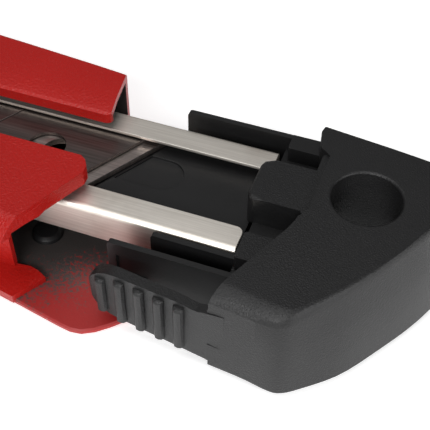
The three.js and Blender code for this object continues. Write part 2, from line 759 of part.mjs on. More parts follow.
// Relief under the cap for the shell's ledge.
const ledgeRelief = raised([
  [-3.5, 14],
  [20, 14],
  [20, 30],
  [-0.2, 30],
  follow(ledgeRear[4]),
  follow(ledgeRear[3]),
].reverse(), capBottom - 1, ledgeTop + 0.3);

// Between the rails: tongue, shoulder block, web and rails.
const bodyBottom = -railHeight;
const tongueFront = channelRear + 0.95;
const shoulderFront = channelRear - 0.3;
const tongueUnder = -4.2;
const tongue = joined(
  raised([
    [capNotch - 1, tongueNear],
    [capNotch - 1, tongueFar],
    [tongueFront - 1.2, tongueFar],
    [tongueFront - 0.3, tongueFar + 0.5],
    [tongueFront, tongueFar + 1.4],
    [tongueFront, tongueNear - 1.2],
    [tongueFront - 0.4, tongueNear - 0.3],
    [tongueFront - 1.2, tongueNear],
  ], bedTop + 0.3, tongueTop),
  block(capNotch - 1, shoulderFront, tongueFar, tongueNear, tongueUnder, tongueTop),
  block(capNotch - 1, capNotch + 1, tongueFar - 3.5, tongueNear + 0.5, tongueUnder, tongueTop),
);
const pocketFloor = -1.6;
const bossTop = rimLipBottom - slideGap;
const shoulder = joined(
  block(capNotch - 1, shoulderFront, farRailOuter, nearRailOuter, bodyBottom, pocketFloor),
  block(capNotch - 1, shoulderFront - 0.2, channelHalf - 2.9, channelHalf + 1.9, pocketFloor - 1, bossTop),
);
const web = joined(
  block(capNotch, 13, farRailOuter, nearRailOuter, bodyBottom, bodyBottom + 1.6),
  block(capNotch, armRoot, nearRailOuter - 1, nearRailOuter + 4, bodyBottom, bodyBottom + 1.6),
);

const rail = (outer, side, top, front) => {
  const y0 = Math.min(outer, outer - side * railThickness);
  const y1 = y0 + railThickness;
  const nose = 0.5;
  return alongY([
    [capNotch, bodyBottom],
    [front, bodyBottom],
    [front, top - nose],
    [front - nose * 0.3, top - nose * 0.3],
    [front - nose, top],
    [capNotch, top],
  ], y0, y1);
};
const nearRailFront = 17.6;
const farRailFront = 16.6;
const innerRailFront = 12.7;
const innerRailOuter = channelHalf + 1.35;
const nearRail = rail(nearRailOuter, 1, nearRailTop, nearRailFront);
const catchWindow = block(11.8, 16.4, nearRailOuter - 0.45, nearRailOuter + 1, -6, -1.9);
const farRail = rail(farRailOuter, -1, farRailTop, farRailFront);
const innerRail = rail(innerRailOuter, 1, innerRailTop, innerRailFront);
const farBlock = block(capNotch, -0.1, farRailOuter, -channelHalf - 0.1, bodyBottom, farRailTop + 0.05);
const knob = post(-5.5, -11.6, 0.6, farRailTop - 1, farRailTop + 0.8, 12);

// Shoulder that falls in a hollow curve from the cap's top to the release arm's root. Its inner
// half stays further back, where the closed shell's turned-down rim comes.
const rootTop = armTop + armRootRise;
const shoulderFrom = (y, curve) => alongY([
  [capNotch, -railHeight],
  [armRoot, -railHeight],
  [armRoot, rootTop],
  ...curve,
  [capNotch, capTop],
], y, 30);
const armShoulder = joined(
  shoulderFrom(17.4, [[0.1, rootTop + 0.35], [-0.6, rootTop + 1.0], [-1.1, rootTop + 1.9], [-1.4, capTop]]),
  shoulderFrom(19.6, [
    [0.6, rootTop + 0.5],
    [0.1, rootTop + 1.15],
    [-0.35, rootTop + 1.95],
    [-0.75, rootTop + 2.7],
    [-1.0, capTop],
  ]),
).intersect(capBlank);

const cap = cut(
  joined(
    cut(capBlank, capAhead),
    tongue, shoulder, web,
    cut(nearRail, catchWindow), farRail, innerRail, farBlock, knob,
    armShoulder,
  ),
  lanyard,
  ledgeRelief,
);
addMesh('end_cap', cap, black);

// ---------------------------------------------------------------- release arm
// Outer face of the arm at x: it leans outwards towards its root.
const armOuterFront = 19.5;
const armOuterRoot = 21.75;
const armLean = 0.18;               // the outer face also leans outwards towards its foot, as the cap's side does
const armFootDrop = 0.85;           // how much deeper the root is than the rest of the arm
const armGap = 0.15;
const armRear = armRoot + armGap;
const armOuterAt = (x) => armOuterRoot + (armOuterFront - armOuterRoot) * (x - armRoot) / armLength;

function releaseArm() {
  const outline = (lean) => [
    [armRear, armOuterAt(armRear) + lean],
    [armRear, armOuterAt(armRear) - armThickness],
    [armFront - 1.2, armOuterAt(armFront) - armThickness],
    [armFront, armOuterAt(armFront) - armThickness + 0.9],
    [armFront - 0.5, armOuterAt(armFront) - 0.1],
    [armFront - 1.6, armOuterAt(armFront - 1.6)],
  ];
  const middleZ = armTop - armHeight / 2;
  const endRadius = armHeight / 2;
  const view = [
    [armRear - 1, armTop - armHeight - armFootDrop],
    [armRear + 3, armTop - armHeight - armFootDrop * 0.7],
    ...arc(armFront - endRadius, middleZ, endRadius, -90, 90, 10),
    [armRear + 4.6, armTop + 0.05],
    [armRear + 3.2, armTop - 0.05],
    [armRear + 2.0, armTop - 0.25],
    [armRear + 1.1, armTop - 0.25],
    [armRear + 0.4, armTop + 0.05],
    [armRear, armTop + armRootRise - 0.15],
    [armRear - 1, armTop + armRootRise + 1],
  ];
  const leaning = lofted([
    [armTop - armHeight - 1, outline(armLean)],
    [armTop + 1, outline(-armLean)],
  ]);
  const plate = leaning.intersect(alongY(view, 10, 30));
  const ribs = [];
  for (let i = 0; i < armRibs; i += 1) {
    const x = armFront - 2.3 - i * armRibPitch;
    const y = armOuterAt(x);
    const half = armRibWidth / 2;
    const inset = i === 0 ? 1.3 : 0.5;
    const section = [
      [x - half, y - 0.5],
      [x + half, y - 0.5],
      [x + half * 0.95, y + armRibDepth * 0.3],
      [x + half * 0.6, y + armRibDepth * 0.85],
      [x, y + armRibDepth],
      [x - half * 0.6, y + armRibDepth * 0.85],
      [x - half * 0.95, y + armRibDepth * 0.3],
    ];
    ribs.push(raised(section, armTop - armHeight + inset - 0.2, armTop - inset - 0.25));
  }
  return joined(plate, ...ribs);
}
addMesh('release_arm', releaseArm(), black);

// ---------------------------------------------------------------- thumb slider
const carrierBottom = activeTop + 0.1;
const carrierTop = lipBottomFront - runClearance;
const carrierHalf = 10.5;
const neckFar = slotFar + runClearance;
const neckNear = slotNear - runClearance;
const padBottom = shellTop + 0.35;
const pegRadius = bladeHole / 2 - 0.35;
const carrier = joined(
  block(sliderX - carrierHalf, sliderX + carrierHalf, neckFar - 2.4, neckNear + 2.4, carrierBottom, carrierTop),
  block(sliderX - carrierHalf + 2, sliderX + carrierHalf - 2, neckFar, neckNear, carrierTop - 0.2, padBottom - 0.1),
  post(sliderX, 0, pegRadius, activeBottom + 0.05, carrierBottom + 0.2, 24),
);
addMesh('slider_carrier', carrier, black);

const padFar = slotFar - 2.2;
const padNear = slotNear + 2.2;
const padRound = 1.0;
const padRidges = 6;
const padRidgePitch = 2.6;
const padView = [
  [sliderX - padLength / 2, padBottom],
  [sliderX + padLength / 2, padBottom],
  [sliderX + padLength / 2, padBottom + 1.6],
  [sliderX + padLength / 2 - 2.2, padBottom + padHeight],
  [sliderX + padLength / 2 - 4.2, padBottom + padHeight],
  [sliderX + 4, padBottom + padHeight - 1.3],
  [sliderX - 4, padBottom + padHeight - 1.5],
  [sliderX - padLength / 2 + 3.2, padBottom + padHeight - 0.6],
  [sliderX - padLength / 2 + 1.4, padBottom + padHeight - 0.9],
  [sliderX - padLength / 2, padBottom + 1.4],
];
const padRidge = (i) => {
  const x = sliderX + (i - (padRidges - 1) / 2) * padRidgePitch;
  return alongY([
    [x - 0.55, padBottom + 1],
    [x + 0.55, padBottom + 1],
    [x + 0.3, padBottom + padHeight - 0.75],
    [x - 0.3, padBottom + padHeight - 0.75],
  ], padFar + 1.2, padNear - 1.2);
};
const padBody = raised([
  [sliderX - padLength / 2, padFar],
  [sliderX + padLength / 2, padFar],
  [sliderX + padLength / 2, padNear],
  [sliderX - padLength / 2, padNear],
], padBottom, padBottom + padHeight + 1, padRound, 2).intersect(alongY(padView, padFar - 1, padNear + 1));
const ridges = Array.from({ length: padRidges }, (_, i) => padRidge(i));
addMesh('thumb_pad', joined(padBody, ...ridges), black);

// Detent spring: a thin leaf on the carrier's near side that clicks along the strip.
const leafY = neckNear + 2.4 + 0.2;
const leafReach = stripNear - leafY - 0.15;
const detentLeaf = raised([
  [sliderX - 8, leafY],
  [sliderX + 8, leafY],
  [sliderX + 8, leafY + 0.35],
  [sliderX + 2.5, leafY + 0.35],
  [sliderX + 0.6, leafY + leafReach],
  [sliderX - 0.6, leafY + leafReach],
  [sliderX - 2.5, leafY + 0.35],
  [sliderX - 8, leafY + 0.35],
], carrierBottom + 0.55, carrierTop - 0.05);
addMesh('detent_spring', detentLeaf, springSteel);

// ---------------------------------------------------------------- origin at the bottom centre
assembly.updateMatrixWorld(true);
const box = new THREE.Box3().setFromObject(assembly, true);
const middle = box.getCenter(new THREE.Vector3());
assembly.position.set(-middle.x, -middle.y, -box.min.z);
assembly.updateMatrixWorld(true);

export default assembly;
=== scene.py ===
# %% [markdown]
# # A snap-off utility knife, opened at the rear
# The knife is seen with its magazine drawn out of the painted metal body. The packed
# model is the fixed frame: every piece here lies where the frame says, in metres.

# %% Load the frame
import bpy
import bmesh
import json
import math
from mathutils import Matrix, Vector


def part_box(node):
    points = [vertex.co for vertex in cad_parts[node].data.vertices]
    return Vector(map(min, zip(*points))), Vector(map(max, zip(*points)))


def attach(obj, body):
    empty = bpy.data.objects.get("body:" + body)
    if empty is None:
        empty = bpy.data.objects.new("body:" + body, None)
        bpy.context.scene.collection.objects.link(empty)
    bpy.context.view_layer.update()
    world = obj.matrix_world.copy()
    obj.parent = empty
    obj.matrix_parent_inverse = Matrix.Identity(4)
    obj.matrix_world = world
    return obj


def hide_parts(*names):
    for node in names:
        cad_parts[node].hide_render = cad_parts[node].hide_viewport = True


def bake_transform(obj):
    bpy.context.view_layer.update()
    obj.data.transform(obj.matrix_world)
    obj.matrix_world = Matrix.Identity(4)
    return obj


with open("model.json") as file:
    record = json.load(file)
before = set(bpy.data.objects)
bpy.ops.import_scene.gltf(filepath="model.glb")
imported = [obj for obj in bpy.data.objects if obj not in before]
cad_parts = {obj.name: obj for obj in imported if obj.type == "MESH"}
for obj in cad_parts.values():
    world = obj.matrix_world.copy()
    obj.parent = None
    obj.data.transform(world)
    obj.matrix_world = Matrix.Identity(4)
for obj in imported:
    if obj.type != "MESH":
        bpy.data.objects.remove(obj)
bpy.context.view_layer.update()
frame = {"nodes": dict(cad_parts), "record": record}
print("nodes:", len(frame["nodes"]))

# %% [markdown]
# The drawing of this knife was made about the top of the magazine channel's lips, with
# its middle line as zero and millimetres as the unit. Two small functions turn such a
# place into the frame and back, so the rest of the lesson can speak in plain millimetres.

# %% Places in millimetres
MM = 0.001
low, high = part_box("magazine_channel")
DRAWING_ZERO = Vector((low.x - 1 * MM, (low.y + high.y) / 2, high.z))


def place(x, y, z):
    """A place on the drawing, in millimetres, as a place in the frame."""
    return Vector((x, y, z)) / 1000 + DRAWING_ZERO


def drawn(point):
    """A place in the frame as millimetres on the drawing."""
    return (Vector(point) - DRAWING_ZERO) * 1000


print("the drawing's zero lies at", [round(v, 4) for v in DRAWING_ZERO])

# %% [markdown]
# A finish is a small network of shader nodes. Written as Python expressions it reads like
# the sum it is: `Value` wraps a node's output, and + - * / on values add the Math nodes.

# %% Values that can be added and multiplied
class Value:
    def __init__(self, finish, socket):
        self.finish, self.socket = finish, socket

    def math(self, operation, *others):
        inputs = {0: self, **{i + 1: other for i, other in enumerate(others)}}
        return self.finish.node("ShaderNodeMath", {"operation": operation}, inputs)

    def __add__(self, other): return self.math("ADD", other)
    def __radd__(self, other): return self.math("ADD", other)
    def __sub__(self, other): return self.math("SUBTRACT", other)
    def __rsub__(self, other): return (self * -1.0) + other
    def __mul__(self, other): return self.math("MULTIPLY", other)
    def __rmul__(self, other): return self.math("MULTIPLY", other)
    def __truediv__(self, other): return self.math("DIVIDE", other)

    def rises(self, start, end):
        """0 below start, 1 above end, and a smooth rise between them."""
        return self.finish.node(
            "ShaderNodeMapRange", {"interpolation_type": "SMOOTHSTEP"},
            {"Value": self, "From Min": start, "From Max": end})


print("values ready")

# %% [markdown]
# `Finish` is one material. Its `node` method adds any node: the settings come first, then
# the values or links of its sockets. The shader's own sockets are set by `shade`. Every
# pattern is laid out in the knife's own coordinates, so it stays put when a piece moves.

# %% The finish class
MIX_SHARE, MIX_FIRST, MIX_SECOND, MIX_COLOUR = 0, 6, 7, 2   # sockets of a Mix node set to colour


class Finish:
    def __init__(self, name):
        self.material = bpy.data.materials.new(name)
        self.material.use_nodes = True
        self.tree = self.material.node_tree
        self.shader = self.tree.nodes["Principled BSDF"]
        where = self.tree.nodes.new("ShaderNodeTexCoord")
        self.place = Value(self, where.outputs["Object"])

    def node(self, kind, settings=None, inputs=None, output=0):
        node = self.tree.nodes.new(kind)
        for key, value in (settings or {}).items():
            setattr(node, key, value)
        for key, value in (inputs or {}).items():
            self.link(value, node.inputs[key])
        return Value(self, node.outputs[output])

    def link(self, value, socket):
        if isinstance(value, Value):
            self.tree.links.new(value.socket, socket)
        else:
            socket.default_value = value

    def shade(self, **inputs):
        for key, value in inputs.items():
            self.link(value, self.shader.inputs[key.replace("_", " ")])
        return self

    def mix(self, share, first, second):
        return self.node(
            "ShaderNodeMix", {"data_type": "RGBA"},
            {MIX_SHARE: share, MIX_FIRST: first, MIX_SECOND: second}, output=MIX_COLOUR)

    def noise(self, scale, detail=2.0, roughness=0.5, stretch=None):
        where = self.place
        if stretch:
            where = self.node("ShaderNodeMapping", {}, {"Vector": where, "Scale": stretch})
        return self.node("ShaderNodeTexNoise", {}, {
            "Vector": where, "Scale": scale, "Detail": detail, "Roughness": roughness})

    def axis(self, name):
        return self.node("ShaderNodeSeparateXYZ", {}, {0: self.place}, output=name)

    def bump(self, height, depth, strength):
        return self.node("ShaderNodeBump", {}, {
            "Height": height, "Distance": depth * MM, "Strength": strength})


print("finish class ready")

# %% [markdown]
# The body is steel sheet under a red powder coat. Powder melts into a skin with a very
# fine grain, which sparkles where a bend catches the light. It could be one flat red with
# a gloss, but then a bend would look like plastic. So a fine noise gives a bump and pale
# specks, and a much larger noise lets the red wander a little.

# %% Red powder coat
RED = (0.325, 0.0055, 0.0035, 1)
RED_LIGHT = (0.365, 0.0075, 0.005, 1)
RED_SPECK = (0.62, 0.07, 0.05, 1)


def red_coat():
    finish = Finish("red_powder_coat")
    cloud = finish.noise(45.0, 3.0)
    grain = finish.noise(2600.0, 2.0, 0.6)
    colour = finish.mix(cloud.rises(0.3, 0.7), RED, RED_LIGHT)
    colour = finish.mix(grain.rises(0.62, 0.78) * 0.25, colour, RED_SPECK)
    return finish.shade(
        Base_Color=colour, Roughness=grain * 0.12 + 0.30,
        Normal=finish.bump(grain, 0.13, 0.9),
        Specular_IOR_Level=0.3, Coat_Weight=0.05, Coat_Roughness=0.3)


body_red = red_coat()
print(body_red.material.name)

# %% [markdown]
# Inside, the sheet is bare grey steel, and only a dusting of powder got in. The dusting
# is thick at the open tail and thins out under the flanges. Its speckle is noise added
# to a ramp that follows the place along and across the knife, so the edge of the dusting
# breaks up into dots and is never a line.

# %% Bare steel with a dusting of red
BARE_STEEL = (0.085, 0.075, 0.072, 1)
DUSTED_RED = (0.27, 0.006, 0.005, 1)


def dusted_steel():
    finish = Finish("bare_steel_with_overspray")
    x = (finish.axis("X") - DRAWING_ZERO.x) * 1000.0
    y = (finish.axis("Y") - DRAWING_ZERO.y) * 1000.0
    speck = finish.noise(1900.0, 2.0, 0.75)
    patch = finish.noise(180.0, 2.0)
    inner = x * 0.055 - y * 0.085 + patch * 0.9 + speck * 2.6
    dust = 1.0 - inner.rises(1.35, 2.15)
    return finish.shade(
        Base_Color=finish.mix(dust, BARE_STEEL, DUSTED_RED),
        Roughness=dust * 0.15 + 0.38, Metallic=(1.0 - dust) * 0.55,
        Normal=finish.bump(speck, 0.06, 0.6))


inside_steel = dusted_steel()
print(inside_steel.material.name)

# %% [markdown]
# The end cap, the release arm and the thumb pad are moulded in black plastic with an
# etched grain. Two noises of different size make the grain's pits, which are also what
# makes its gloss uneven. Rails and studs rub against metal and are moulded smooth, so
# they get the same plastic with a much shallower grain.

# %% Grained and smooth black plastic
BLACK_DEEP = (0.0060, 0.0060, 0.0063, 1)
BLACK_WORN = (0.0090, 0.0088, 0.0091, 1)


def black_plastic(name, grain_depth, grain_scale):
    finish = Finish(name)
    coarse = finish.noise(grain_scale, 1.5, 0.5)
    fine = finish.noise(grain_scale * 2.1, 1.0)
    pits = coarse * 0.7 + fine * 0.3
    cloud = finish.noise(60.0, 2.0)
    return finish.shade(
        Base_Color=finish.mix(cloud, BLACK_DEEP, BLACK_WORN), Roughness=pits * 0.2 + 0.34,
        Normal=finish.bump(pits, grain_depth, 0.8), Specular_IOR_Level=0.4)


grained_black = black_plastic("grained_black_plastic", 0.13, 4300.0)
smooth_black = black_plastic("smooth_black_plastic", 0.02, 2300.0)
print(grained_black.material.name, smooth_black.material.name)

# %% [markdown]
# The magazine channel is bright plated sheet, drawn along its length, so its fine lines
# run along X. The plating has a few warm, cloudy stains. Its finish is a stretched noise
# for the lines and a large noise for the stains. Rivets and springs are the same kind of
# metal with other tones, and a rivet's lines are too short to have a direction.

# %% Drawn metal finishes
STAIN = (0.26, 0.16, 0.09, 1)
ALONG_X = (6.0, 260.0, 260.0)
EVERY_WAY = (40.0, 40.0, 40.0)


def drawn_metal(name, dark, bright, roughness, stretch=ALONG_X, stain=0.0):
    finish = Finish(name)
    line = finish.noise(14.0, 3.0, 0.6, stretch)
    cloud = finish.noise(130.0, 3.0, 0.6)
    colour = finish.mix(line.rises(0.25, 0.75), dark, bright)
    if stain:
        blot = finish.noise(70.0, 4.0, 0.6).rises(0.5, 0.75) * stain
        colour = finish.mix(blot, colour, STAIN)
    return finish.shade(
        Base_Color=colour, Metallic=1.0, Normal=finish.bump(line, 0.01, 0.5),
        Roughness=line * 0.1 + cloud * 0.08 + roughness)


STEEL_BRIGHT = (0.62, 0.60, 0.56, 1)
plated = drawn_metal(
    "plated_channel_steel", (0.80, 0.75, 0.68, 1), (0.92, 0.87, 0.80, 1), 0.38, stain=0.3)
rivet_metal = drawn_metal("rivet_steel", (0.45, 0.43, 0.40, 1), STEEL_BRIGHT, 0.30, EVERY_WAY)
spring_metal = drawn_metal("spring_strip_steel", (0.40, 0.38, 0.35, 1), STEEL_BRIGHT, 0.25)
print(plated.material.name, rivet_metal.material.name, spring_metal.material.name)

# %% [markdown]
# A snap-off blade is dark, oiled tool steel, brushed along its length. Slanted score
# lines ten millimetres apart let the worn end be snapped off, and one long side is ground
# to an edge. The score lines are grooves in the bump, and their colour is darkened as
# painted shade. They are laid out from the blade's own slanted rear end, so each blade gets
# a finish that knows where that end is. Each blade's tones are also scaled by a factor of
# its own: painted light, which makes lighter and darker copies of one steel.

# %% Blade steel with score lines
SLANT = math.tan(math.pi / 6)      # how the score lines lean from square
SCORE_PITCH = 10.0                 # millimetres from one score line to the next
GROOVE_FROM = 4.72                 # millimetres from a segment's middle to its groove
GROOVE_SLOPE = 0.22                # millimetres over which the groove deepens
TANG = 20                          # millimetres at the rear that carry no score line
GROUND = 0.0031                    # width of the ground side, in metres
OILED_DARK = (0.12, 0.105, 0.098)
OILED_LIGHT = (0.19, 0.165, 0.155)
OIL_SMEAR = (0.26, 0.20, 0.19, 1)
# Painted shade: the colour put inside the score lines' grooves.
GROOVE_PAINTED_SHADE = (0.03, 0.028, 0.026, 1)
GROUND_BRIGHT = (0.52, 0.50, 0.47, 1)


def blade_steel(node, light):
    low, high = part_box(node)
    middle = (low.y + high.y) / 2
    rear = low.x + SLANT * (high.y - low.y) / 2
    finish = Finish(f"blade_steel_{node}")
    along = (finish.axis("X") - rear - (finish.axis("Y") - middle) * SLANT) * 1000.0
    step = (along / SCORE_PITCH).math("FRACT")
    line = 1.0 - ((step - 0.5).math("ABSOLUTE") * SCORE_PITCH - GROOVE_FROM).rises(0.0, GROOVE_SLOPE)
    groove = 1.0 - (1.0 - line) * along.rises(TANG - 0.1, TANG)
    brush = finish.noise(14.0, 3.0, 0.6, (5.0, 240.0, 240.0))
    smear = finish.noise(90.0, 3.0, 0.65)
    # The factor scales both tones of the brushing: painted light for this copy of the steel.
    dark, bright = ((*(light * part for part in tone), 1) for tone in (OILED_DARK, OILED_LIGHT))
    colour = finish.mix(brush.rises(0.3, 0.7), dark, bright)
    colour = finish.mix(smear.rises(0.45, 0.75) * 0.4, colour, OIL_SMEAR)
    # The grooves are darkened in colour here: painted shade.
    colour = finish.mix(groove, GROOVE_PAINTED_SHADE, colour)
    ground = (finish.axis("Y") - (high.y - GROUND)).rises(0.0, 0.1 * MM)
    return finish.shade(
        Base_Color=finish.mix(ground, colour, GROUND_BRIGHT), Metallic=1.0,
        Normal=finish.bump(groove + brush * 0.02, 0.1, 0.8),
        Roughness=brush * 0.12 + smear * 0.1 + 0.26)


# Painted light: each blade's tones are scaled by its factor. The middle and bottom spares are painted
# lighter, the active blade a little lighter, and the upper spare is left darkest as painted shade for
# the dark surroundings it mirrors.
BLADE_PAINTED_LIGHTNESS = {
    "spare_blade_top": 1.0, "spare_blade_middle": 2.6, "spare_blade_bottom": 2.6, "active_blade": 1.4}
blade_finishes = {node: blade_steel(node, light) for node, light in BLADE_PAINTED_LIGHTNESS.items()}
print(len(blade_finishes), "blade finishes")

# %% [markdown]
# A moulded or pressed piece never has a knife-sharp edge. The frame's solids do, so for
# each piece that shows, its mesh is copied, its loose triangles are merged and its flat
# faces made whole again. Then a narrow bevel rounds its edges and catches the light.
# A subdivided surface would round them too, but it would also pull the flat sheet out of
# true.

# %% Copying a piece
BODY_OF = {
    node: body for body, nodes in frame["record"]["behaviour"]["bodies"].items() for node in nodes}


def choose(piece):
    bpy.ops.object.select_all(action="DESELECT")
    piece.select_set(True)
    bpy.context.view_layer.objects.active = piece


def copied(node, name):
    piece = bpy.data.objects.new(name, frame["nodes"][node].data.copy())
    bpy.context.scene.collection.objects.link(piece)
    piece.data.materials.clear()
    choose(piece)
    bpy.ops.object.mode_set(mode="EDIT")
    bpy.ops.mesh.select_all(action="SELECT")
    bpy.ops.mesh.customdata_custom_splitnormals_clear()
    bpy.ops.mesh.remove_doubles(threshold=0.004 * MM)
    bpy.ops.mesh.dissolve_limited(angle_limit=math.radians(0.4))
    bpy.ops.object.mode_set(mode="OBJECT")
    return piece


# %% [markdown]
# Some edges want a fillet of their own size, and some points want a nudge. Both are found
# by where they are: `wanted` looks at an edge or a point and says yes or no.

# %% Bevelling and moving chosen parts
def pick(piece, wanted, kind):
    """Opens the piece for editing with the wanted edges ("EDGE") or points ("VERT") selected."""
    choose(piece)
    bpy.ops.object.mode_set(mode="EDIT")
    bpy.context.tool_settings.mesh_select_mode = (kind == "VERT", kind == "EDGE", False)
    mesh = bmesh.from_edit_mesh(piece.data)
    for group in (mesh.verts, mesh.edges, mesh.faces):
        for element in group:
            element.select = False
    found = [element for element in (mesh.verts if kind == "VERT" else mesh.edges) if wanted(element)]
    for element in found:
        element.select = True
    mesh.select_flush_mode()
    bmesh.update_edit_mesh(piece.data)
    print(len(found), "chosen on", piece.name)


def bevelled(piece, wanted, width, segments):
    """Fillets the wanted edges; the width is in millimetres."""
    pick(piece, wanted, "EDGE")
    bpy.ops.mesh.bevel(offset=width * MM, segments=segments, affect="EDGES")
    bpy.ops.object.mode_set(mode="OBJECT")


def moved(piece, wanted, x, y, z):
    """Moves the wanted points by so many millimetres."""
    pick(piece, wanted, "VERT")
    bpy.ops.transform.translate(value=(x * MM, y * MM, z * MM))
    bpy.ops.object.mode_set(mode="OBJECT")


print("ready to bevel and move chosen parts")

# %% [markdown]
# All other edges sharper than a limit are rounded together by a bevel modifier. Smooth
# shading then joins the narrow faces, while the large flat ones keep their direction.

# %% Rounding and finishing a whole piece
def rounded(piece, width, segments, sharper_than):
    choose(piece)
    bevel = piece.modifiers.new("rounded edges", "BEVEL")
    bevel.width = width * MM
    bevel.segments = segments
    bevel.limit_method = "ANGLE"
    bevel.angle_limit = math.radians(sharper_than)
    bevel.miter_outer = "MITER_ARC"
    bpy.ops.object.modifier_apply(modifier=bevel.name)
    return piece


def smoothed(piece, angle):
    choose(piece)
    bpy.ops.object.shade_smooth_by_angle(angle=math.radians(angle))
    weighted = piece.modifiers.new("flat faces stay flat", "WEIGHTED_NORMAL")
    weighted.keep_sharp = True
    bpy.ops.object.modifier_apply(modifier=weighted.name)


def finished(piece, node, finishes):
    smoothed(piece, 35)
    for finish in finishes:
        piece.data.materials.append(finish.material)
    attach(piece, BODY_OF[node])
    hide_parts(node)
    print(piece.name, "has", len(piece.data.polygons), "faces")


def second_finish(piece, takes_it):
    """Gives the piece's second finish to the faces for which takes_it(face) is true."""
    for face in piece.data.polygons:
        face.material_index = 1 if takes_it(face) else 0
    print(sum(face.material_index for face in piece.data.polygons), "faces take the second finish")


print("ready to round, smooth and finish whole pieces")

# %% [markdown]
# The body shell is the largest piece: one sheet, cut and folded. The rear ends of its two
# turned-down lips have rounded corners, where a hand reaches in. The other edges are
# rounded by a third of the sheet's thickness, as shearing and painting leave them.

# %% The body shell
LIP_CORNERS = (place(26.2, -5.6, 3.3), place(27.0, 3.8, 3.3))


def on_lip_corner(edge):
    """An upright edge at one of the lips' rear corners."""
    first, second = (vertex.co for vertex in edge.verts)
    upright = (first - second).xy.length < 0.1 * MM and abs(first.z - second.z) > 0.3 * MM
    return upright and any((first - corner).xy.length < 0.6 * MM for corner in LIP_CORNERS)


shell = copied("body_shell", "body_shell_sheet")
bevelled(shell, on_lip_corner, 1.2, 4)
rounded(shell, 0.32, 2, 28)
finished(shell, "body_shell", [body_red, inside_steel])

# %% [markdown]
# The paint was sprayed from outside. Faces that look into the hollow are bare steel: the
# floor's upper side, the undersides of the flanges and the inner sides of the walls.

# %% Which faces of the shell look inside
FLANGE_TOP, FLOOR_UNDERSIDE = 3.0, -11.6     # heights on the drawing
FLOOR_TOP, FLANGE_UNDERSIDE = -10.6, 2.0
FACES_UP, FACES_SIDE = 0.7, 0.4              # how squarely a face looks that way
WALLS_FROM = 8                               # walls lie at least this far from the middle


def looks_inside(face):
    middle, normal = drawn(face.center), face.normal
    if middle.z > FLANGE_TOP or middle.z < FLOOR_UNDERSIDE:
        return False
    if normal.z > FACES_UP:
        return middle.z < FLOOR_TOP
    if normal.z < -FACES_UP:
        return middle.z > FLANGE_UNDERSIDE
    if abs(normal.x) > FACES_UP:
        return False
    towards_middle = normal.y * (1 if middle.y < 0 else -1)
    return towards_middle > FACES_SIDE and abs(middle.y) > WALLS_FROM


second_finish(shell, looks_inside)

# %% [markdown]
# The end cap is one moulding with its rails. It has a hole for a lanyard, and a cord must
# not chafe there, so the hole's rims get a fillet of their own. So do the rim of the
# tongue between the channel's lips and the upright corners of the wall behind it.

# %% The end cap and its own fillets
HOLE = place(-13.8, -1.8, 0)
HOLE_RADIUS = 4.9
TONGUE_TOP, TONGUE_REAR = 3.3, -5.6
WALL_CORNERS = (-7.2, 2)     # the corners lie between these two places along the knife


def on_hole_rim(edge):
    ends = [vertex.co for vertex in edge.verts]
    near = all(abs((end - HOLE).xy.length - HOLE_RADIUS * MM) < 0.3 * MM for end in ends)
    return near and abs(ends[0].z - ends[1].z) < 0.05 * MM


def on_tongue_top(edge):
    """The tongue's top rim, whose fillet is the widest of the cap's inner edges."""
    ends = [drawn(vertex.co) for vertex in edge.verts]
    flat = all(abs(end.z - TONGUE_TOP) < 0.02 and end.x > TONGUE_REAR for end in ends)
    return flat and edge.is_convex and edge.calc_face_angle(0) > 1.0


def on_wall_corner(edge):
    """Upright edges along the cap's front wall, between its top and the tongue."""
    first, second = (drawn(vertex.co) for vertex in edge.verts)
    upright = (first - second).xy.length < 0.05 and abs(first.z - second.z) > 0.3
    in_front = all(WALL_CORNERS[0] < end.x < WALL_CORNERS[1] for end in (first, second))
    return upright and in_front and edge.is_convex and edge.calc_face_angle(0) > 0.6


cap = copied("end_cap", "end_cap_moulding")
bevelled(cap, on_hole_rim, 0.45, 4)
bevelled(cap, on_tongue_top, 0.6, 4)
bevelled(cap, on_wall_corner, 0.4, 3)

# %% [markdown]
# The release arm grows out of the cap without a seam. The two are separate meshes here, so
# the cap's side dips just under the arm's skin at the root, and its foot rises to meet the
# arm's lower edge. After that the cap's other edges are rounded.

# %% Where the arm grows out of the cap
ROOT_AHEAD, ROOT_OUT, ROOT_FOOT = 0.9, 18, -9.9     # the root's limits along, across and in height


def at_root(vertex):
    spot = drawn(vertex.co)
    return spot.x > ROOT_AHEAD and spot.y > ROOT_OUT


def at_root_foot(vertex):
    return at_root(vertex) and drawn(vertex.co).z < ROOT_FOOT


moved(cap, at_root, 0, -0.14, 0)
moved(cap, at_root_foot, 0, 0, 0.9)
rounded(cap, 0.25, 3, 30)
finished(cap, "end_cap", [grained_black, smooth_black])

# %% [markdown]
# The cap's rails slide in the shell, so the mould is polished there. Everything ahead of
# the cap's front wall counts as a rail, apart from the outer side, the top and the boss
# beside the near lip, which keep the grain.

# %% Rails are smooth, the rest of the cap is grained
FRONT_WALL, OUTER_SIDE, UNDER_TOP = -4.6, 16, 3.0
BOSS_ACROSS, BOSS_END = (6, 13.5), 1.5


def on_a_rail(face):
    middle = drawn(face.center)
    ahead_of_wall = middle.x > FRONT_WALL and middle.y < OUTER_SIDE and middle.z < UNDER_TOP
    on_boss = BOSS_ACROSS[0] < middle.y < BOSS_ACROSS[1] and middle.x < BOSS_END
    return ahead_of_wall and not on_boss


second_finish(cap, on_a_rail)

# %% [markdown]
# The release arm is a springy tongue with five ribs for the thumb. It is a piece of its own.

# %% The release arm
RIB_REACH = 21.95     # ribs stand out past this line at the root
ROOT_X = 1.05
ARM_LEAN = 0.126      # the line falls this much for each millimetre towards the arm's end


def on_rib_top(edge):
    """The outer rim of a rib's upper end."""
    ends = [drawn(vertex.co) for vertex in edge.verts]
    level = abs(ends[0].z - ends[1].z) < 0.01 and -1.8 < ends[0].z < -0.6
    return level and all(end.y > RIB_REACH - ARM_LEAN * (end.x - ROOT_X) for end in ends)


